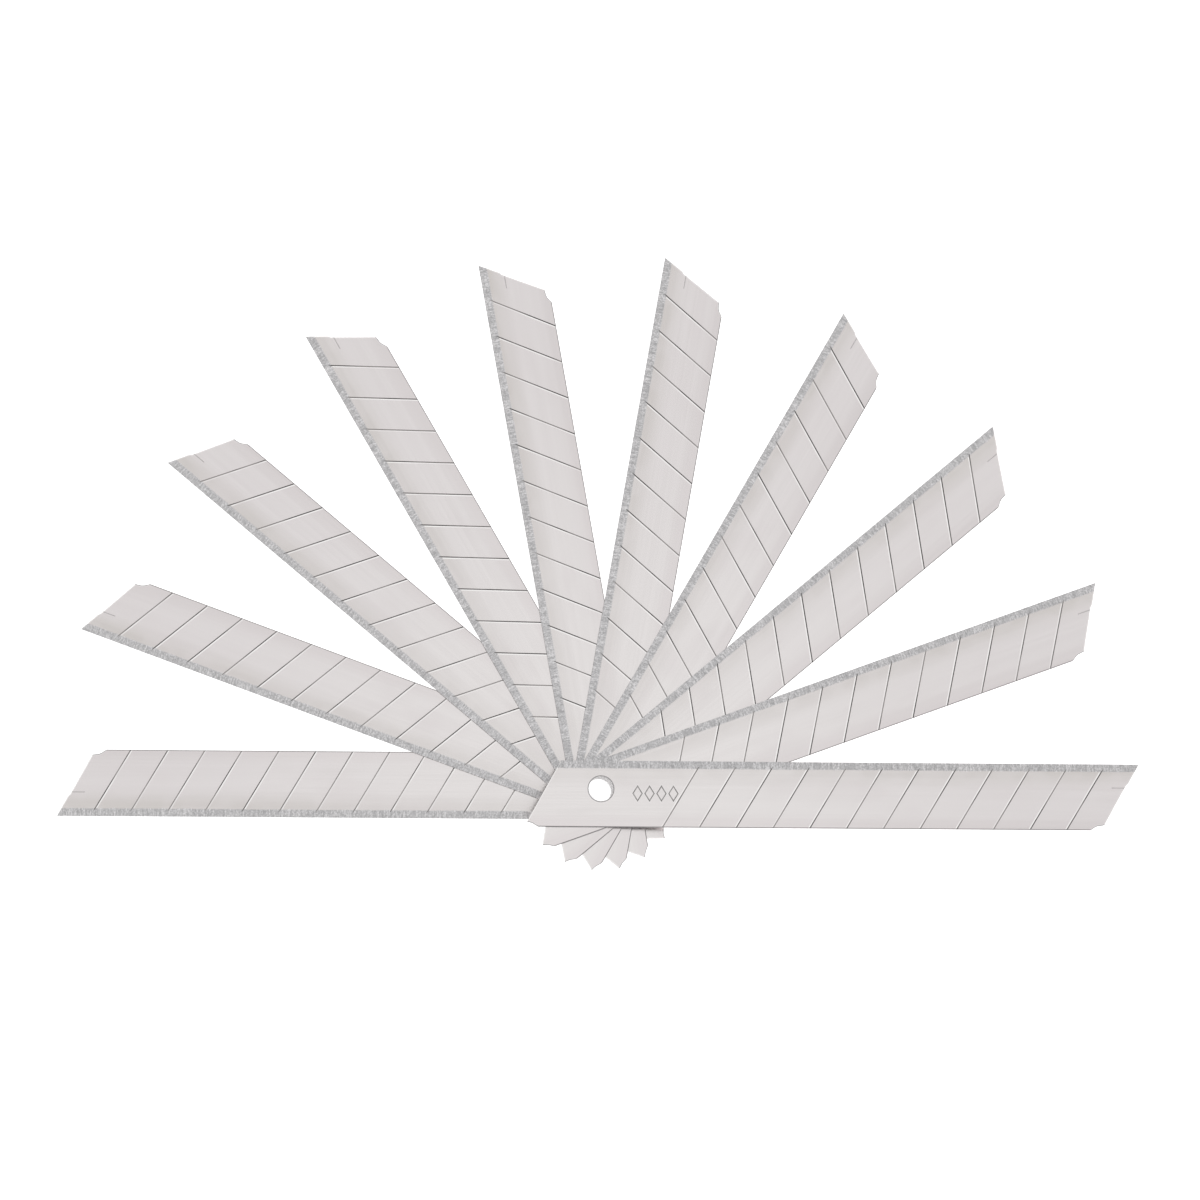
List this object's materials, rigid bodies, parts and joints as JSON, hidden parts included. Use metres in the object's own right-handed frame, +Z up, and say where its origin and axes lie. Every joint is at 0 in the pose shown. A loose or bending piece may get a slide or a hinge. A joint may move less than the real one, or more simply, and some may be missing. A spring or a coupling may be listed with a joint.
{
  "type": "fan of snap-off knife blades",
  "caption": "Fan of identical snap-off cutter blades lying over one another about their tail holes, each free to turn on the shared hole axis.",
  "frame": {"origin": "on the common axis of the tail holes, at the underside of the lowest blade", "axes": "+Z up through the stack along the hole axis; +X along the top blade towards its tip; +Y into the open side of the fan"},
  "size_m": [0.1466, 0.0837, 0.0043],
  "materials": {
    "ground_steel": "bright rolled tool steel, faintly brushed along its length, with cross-ground bevels at the cutting edge"
  },
  "bodies": {
    "blade_01": {"blade_01": "ground_steel"},
    "blade_02": {"blade_02": "ground_steel"},
    "blade_03": {"blade_03": "ground_steel"},
    "blade_04": {"blade_04": "ground_steel"},
    "blade_05": {"blade_05": "ground_steel"},
    "blade_06": {"blade_06": "ground_steel"},
    "blade_07": {"blade_07": "ground_steel"},
    "blade_08": {"blade_08": "ground_steel"},
    "blade_09": {"blade_09": "ground_steel"},
    "blade_10": {"blade_10": "ground_steel"}
  },
  "joints": [
    {"name": "blade_02_swing", "type": "hinge", "parent": "blade_01", "child": "blade_02", "pos_m": [0, 0, 0], "axis": [0, 0, 1], "continuous": true},
    {"name": "blade_03_swing", "type": "hinge", "parent": "blade_01", "child": "blade_03", "pos_m": [0, 0, 0], "axis": [0, 0, 1], "continuous": true},
    {"name": "blade_04_swing", "type": "hinge", "parent": "blade_01", "child": "blade_04", "pos_m": [0, 0, 0], "axis": [0, 0, 1], "continuous": true},
    {"name": "blade_05_swing", "type": "hinge", "parent": "blade_01", "child": "blade_05", "pos_m": [0, 0, 0], "axis": [0, 0, 1], "continuous": true},
    {"name": "blade_06_swing", "type": "hinge", "parent": "blade_01", "child": "blade_06", "pos_m": [0, 0, 0], "axis": [0, 0, 1], "continuous": true},
    {"name": "blade_07_swing", "type": "hinge", "parent": "blade_01", "child": "blade_07", "pos_m": [0, 0, 0], "axis": [0, 0, 1], "continuous": true},
    {"name": "blade_08_swing", "type": "hinge", "parent": "blade_01", "child": "blade_08", "pos_m": [0, 0, 0], "axis": [0, 0, 1], "continuous": true},
    {"name": "blade_09_swing", "type": "hinge", "parent": "blade_01", "child": "blade_09", "pos_m": [0, 0, 0], "axis": [0, 0, 1], "continuous": true},
    {"name": "blade_10_swing", "type": "hinge", "parent": "blade_01", "child": "blade_10", "pos_m": [0, 0, 0], "axis": [0, 0, 1], "continuous": true}
  ]
}
